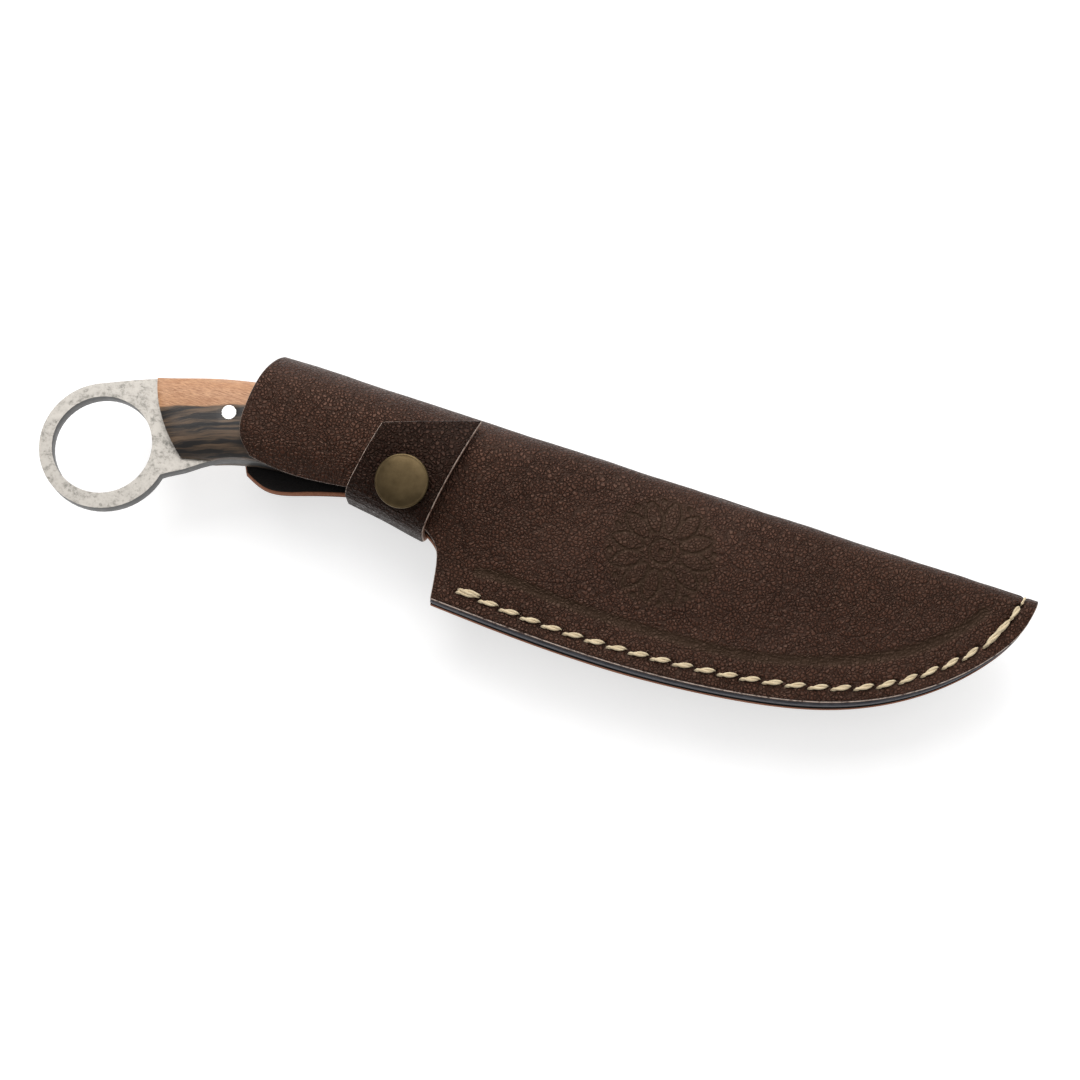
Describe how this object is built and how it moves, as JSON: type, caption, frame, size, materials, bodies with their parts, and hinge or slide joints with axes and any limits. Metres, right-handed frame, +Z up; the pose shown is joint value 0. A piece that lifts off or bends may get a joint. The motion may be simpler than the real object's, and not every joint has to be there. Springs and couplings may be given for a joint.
{
  "type": "sheathed ring knife",
  "caption": "Fixed-blade hunting knife with a finger ring and wooden scales, held in a folded, edge-stitched leather belt sheath by a snap strap that swings open",
  "frame": {"origin": "bottom centre of the part's box, on the plane of the belt loop's outer face that the closed part lies on", "axes": "X runs along the sheath from the finger ring (-X) to the sheath's tip (+X), Y points from the stitched edge to the folded spine, and Z points up out of the front face with the snap"},
  "size_m": [0.2578, 0.0549, 0.0335],
  "materials": {
    "steel": "stonewashed",
    "pin_steel": "polished",
    "wood": "oiled",
    "sheath_leather": "pebbled",
    "strap_leather": "pebbled",
    "loop_leather": "pebbled",
    "welt": "cut edge",
    "thread": "waxed",
    "antique_brass": "antique"
  },
  "bodies": {
    "sheath": {"sheath_leather": "sheath_leather", "edge_welt": "welt", "edge_stitching": "thread", "belt_loop": "loop_leather", "belt_loop_rivet_caps": "antique_brass", "belt_loop_rivet_posts": "antique_brass", "strap_tail": "strap_leather", "strap_rivet_caps": "antique_brass", "strap_rivet_posts": "antique_brass", "snap_stud": "antique_brass", "snap_post": "antique_brass"},
    "knife": {"blade_and_ring": "steel", "handle_scale_front": "wood", "handle_scale_back": "wood", "handle_pin_rear": "pin_steel", "handle_pin_middle": "pin_steel", "handle_pin_front": "pin_steel"},
    "strap": {"strap_flap": "strap_leather", "snap_cap": "antique_brass", "snap_socket": "antique_brass"}
  },
  "joints": [
    {"name": "knife_draw", "type": "slide", "parent": "sheath", "child": "knife", "axis": [-1, 0, 0], "range_m": [0, 0.2]},
    {"name": "strap_open", "type": "hinge", "parent": "sheath", "child": "strap", "pos_m": [-0.04766, -0.00296, 0.0263], "axis": [0.9871, -0.1599, 0], "range_deg": [0, 150]}
  ]
}
